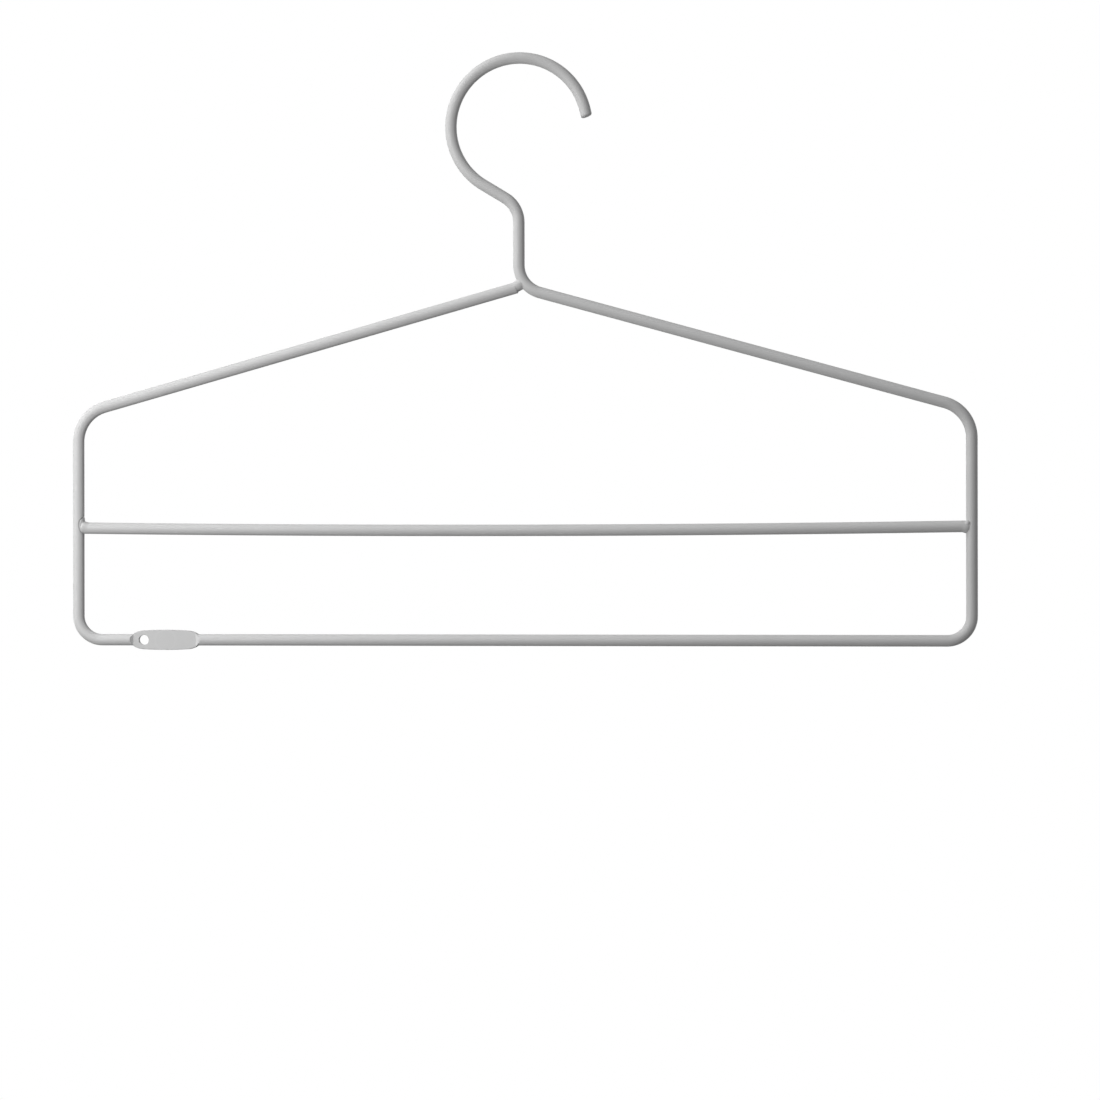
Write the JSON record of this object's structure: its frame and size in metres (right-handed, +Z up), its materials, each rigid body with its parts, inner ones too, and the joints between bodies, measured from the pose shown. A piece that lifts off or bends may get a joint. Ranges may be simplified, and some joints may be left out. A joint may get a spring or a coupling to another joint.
{
  "type": "trouser hanger",
  "caption": "Flat wire trouser hanger: round open hook, sloping shoulders, straight sides, a trouser bar across, and a lower rail with a pressed tab and hole.",
  "frame": {"origin": "where the hook rests on a rail: the lowest point of the wire's inner side at the top of the hook", "axes": "+X along the bars towards the side that the hook opens to, +Y towards the back, +Z up; the front looks along -Y"},
  "size_m": [0.41, 0.0072, 0.2699],
  "materials": {
    "wire_coat": "satin light grey powder coat",
    "tab_coat": "satin light grey powder coat on pressed metal",
    "bar_coat": "satin light grey powder coat",
    "bead_coat": "satin light grey powder coat over a weld bead"
  },
  "bodies": {
    "root": {"hook": "wire_coat", "run_back": "wire_coat", "neck": "wire_coat", "right_shoulder": "wire_coat", "right_side": "wire_coat", "lower_rail": "wire_coat", "pressed_tab": "tab_coat", "left_side": "wire_coat", "left_shoulder": "wire_coat", "trouser_bar": "bar_coat", "neck_weld": "bead_coat", "left_bar_weld": "bead_coat", "right_bar_weld": "bead_coat"}
  },
  "joints": []
}
